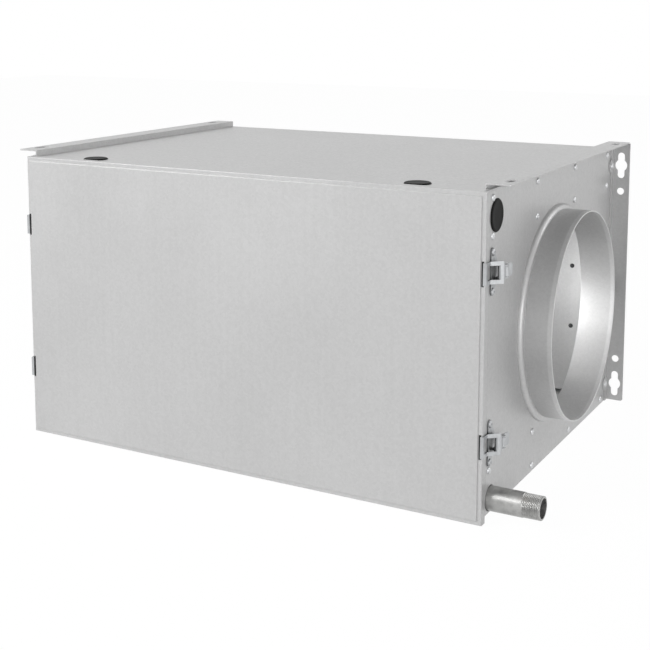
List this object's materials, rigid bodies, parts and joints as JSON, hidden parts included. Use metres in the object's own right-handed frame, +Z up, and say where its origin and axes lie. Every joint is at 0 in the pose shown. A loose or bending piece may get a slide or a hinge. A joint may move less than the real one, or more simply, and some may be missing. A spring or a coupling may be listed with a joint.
{
  "type": "duct cooling coil",
  "caption": "Galvanised duct cooling coil box with round duct collars, toggle-latched front cover, wall brackets and a threaded condensate drain.",
  "frame": {"origin": "middle of the rear wall plane, at the height of the duct axis", "axes": "+X along the air way from the left collar to the right one, +Y towards the wall, +Z up"},
  "size_m": [0.7135, 0.465, 0.3645],
  "materials": {
    "galvanised_sheet": "satin",
    "latch_zinc": "satin",
    "rivet_zinc": "satin",
    "pipe_steel": "matte",
    "black_rubber": "matte",
    "seal_foam": "matte",
    "insulation": "matte",
    "fin_aluminium": "satin",
    "copper": "satin",
    "tray_steel": "satin"
  },
  "bodies": {
    "casing": {"casing_wrap": "galvanised_sheet", "ceiling_rail_left": "galvanised_sheet", "ceiling_rail_right": "galvanised_sheet", "closing_angle_front_left": "galvanised_sheet", "closing_angle_front_right": "galvanised_sheet", "closing_angle_rear_left": "galvanised_sheet", "closing_angle_rear_right": "galvanised_sheet", "closing_screws": "rivet_zinc", "coil_bottom_channel": "galvanised_sheet", "coil_fin_pack": "fin_aluminium", "coil_front_bends": "copper", "coil_front_plate": "galvanised_sheet", "coil_header_return": "copper", "coil_header_supply": "copper", "coil_rear_bends": "copper", "coil_rear_plate": "galvanised_sheet", "coil_top_channel": "galvanised_sheet", "coil_tubes": "copper", "condensate_tray": "tray_steel", "cover_gasket": "seal_foam", "cover_pad": "insulation", "drain_pipe": "pipe_steel", "duct_collar_left": "galvanised_sheet", "duct_collar_right": "galvanised_sheet", "end_angle_left_lower": "galvanised_sheet", "end_angle_left_upper": "galvanised_sheet", "end_angle_right_lower": "galvanised_sheet", "end_angle_right_upper": "galvanised_sheet", "end_panel_left": "galvanised_sheet", "end_panel_right": "galvanised_sheet", "front_cover": "galvanised_sheet", "latch_base_left_lower": "latch_zinc", "latch_base_left_upper": "latch_zinc", "latch_base_right_lower": "latch_zinc", "latch_base_right_upper": "latch_zinc", "latch_pins": "latch_zinc", "latch_rivets": "latch_zinc", "panel_rivets": "rivet_zinc", "port_plugs": "black_rubber", "port_rings": "latch_zinc", "side_plugs": "black_rubber", "top_plugs": "black_rubber", "wall_bracket_left": "galvanised_sheet", "wall_bracket_right": "galvanised_sheet", "water_pipe_return": "copper", "water_pipe_supply": "copper"},
    "lever_left_upper": {"latch_lever_left_upper": "latch_zinc", "claw_pin_left_upper": "latch_zinc"},
    "claw_left_upper": {"latch_claw_left_upper": "latch_zinc"},
    "lever_left_lower": {"latch_lever_left_lower": "latch_zinc", "claw_pin_left_lower": "latch_zinc"},
    "claw_left_lower": {"latch_claw_left_lower": "latch_zinc"},
    "lever_right_upper": {"latch_lever_right_upper": "latch_zinc", "claw_pin_right_upper": "latch_zinc"},
    "claw_right_upper": {"latch_claw_right_upper": "latch_zinc"},
    "lever_right_lower": {"latch_lever_right_lower": "latch_zinc", "claw_pin_right_lower": "latch_zinc"},
    "claw_right_lower": {"latch_claw_right_lower": "latch_zinc"}
  },
  "joints": [
    {"name": "latch_left_upper_lever", "type": "hinge", "parent": "casing", "child": "lever_left_upper", "pos_m": [-0.3145, -0.441, 0.08925], "axis": [0, 0, 1], "range_deg": [0, 120]},
    {"name": "latch_left_upper_claw", "type": "hinge", "parent": "lever_left_upper", "child": "claw_left_upper", "pos_m": [-0.32016, -0.43534, 0.08925], "axis": [0, 0, 1], "range_deg": [-150, 0]},
    {"name": "latch_left_lower_lever", "type": "hinge", "parent": "casing", "child": "lever_left_lower", "pos_m": [-0.3145, -0.441, -0.09575], "axis": [0, 0, 1], "range_deg": [0, 120]},
    {"name": "latch_left_lower_claw", "type": "hinge", "parent": "lever_left_lower", "child": "claw_left_lower", "pos_m": [-0.32016, -0.43534, -0.09575], "axis": [0, 0, 1], "range_deg": [-150, 0]},
    {"name": "latch_right_upper_lever", "type": "hinge", "parent": "casing", "child": "lever_right_upper", "pos_m": [0.3145, -0.441, 0.08925], "axis": [0, 0, -1], "range_deg": [0, 120]},
    {"name": "latch_right_upper_claw", "type": "hinge", "parent": "lever_right_upper", "child": "claw_right_upper", "pos_m": [0.32016, -0.43534, 0.08925], "axis": [0, 0, -1], "range_deg": [-150, 0]},
    {"name": "latch_right_lower_lever", "type": "hinge", "parent": "casing", "child": "lever_right_lower", "pos_m": [0.3145, -0.441, -0.09575], "axis": [0, 0, -1], "range_deg": [0, 120]},
    {"name": "latch_right_lower_claw", "type": "hinge", "parent": "lever_right_lower", "child": "claw_right_lower", "pos_m": [0.32016, -0.43534, -0.09575], "axis": [0, 0, -1], "range_deg": [-150, 0]}
  ],
  "couplings": [
    {"joint": "latch_left_upper_claw", "follows": "latch_left_upper_lever", "ratio": -1.25},
    {"joint": "latch_left_lower_claw", "follows": "latch_left_lower_lever", "ratio": -1.25},
    {"joint": "latch_right_upper_claw", "follows": "latch_right_upper_lever", "ratio": -1.25},
    {"joint": "latch_right_lower_claw", "follows": "latch_right_lower_lever", "ratio": -1.25}
  ]
}
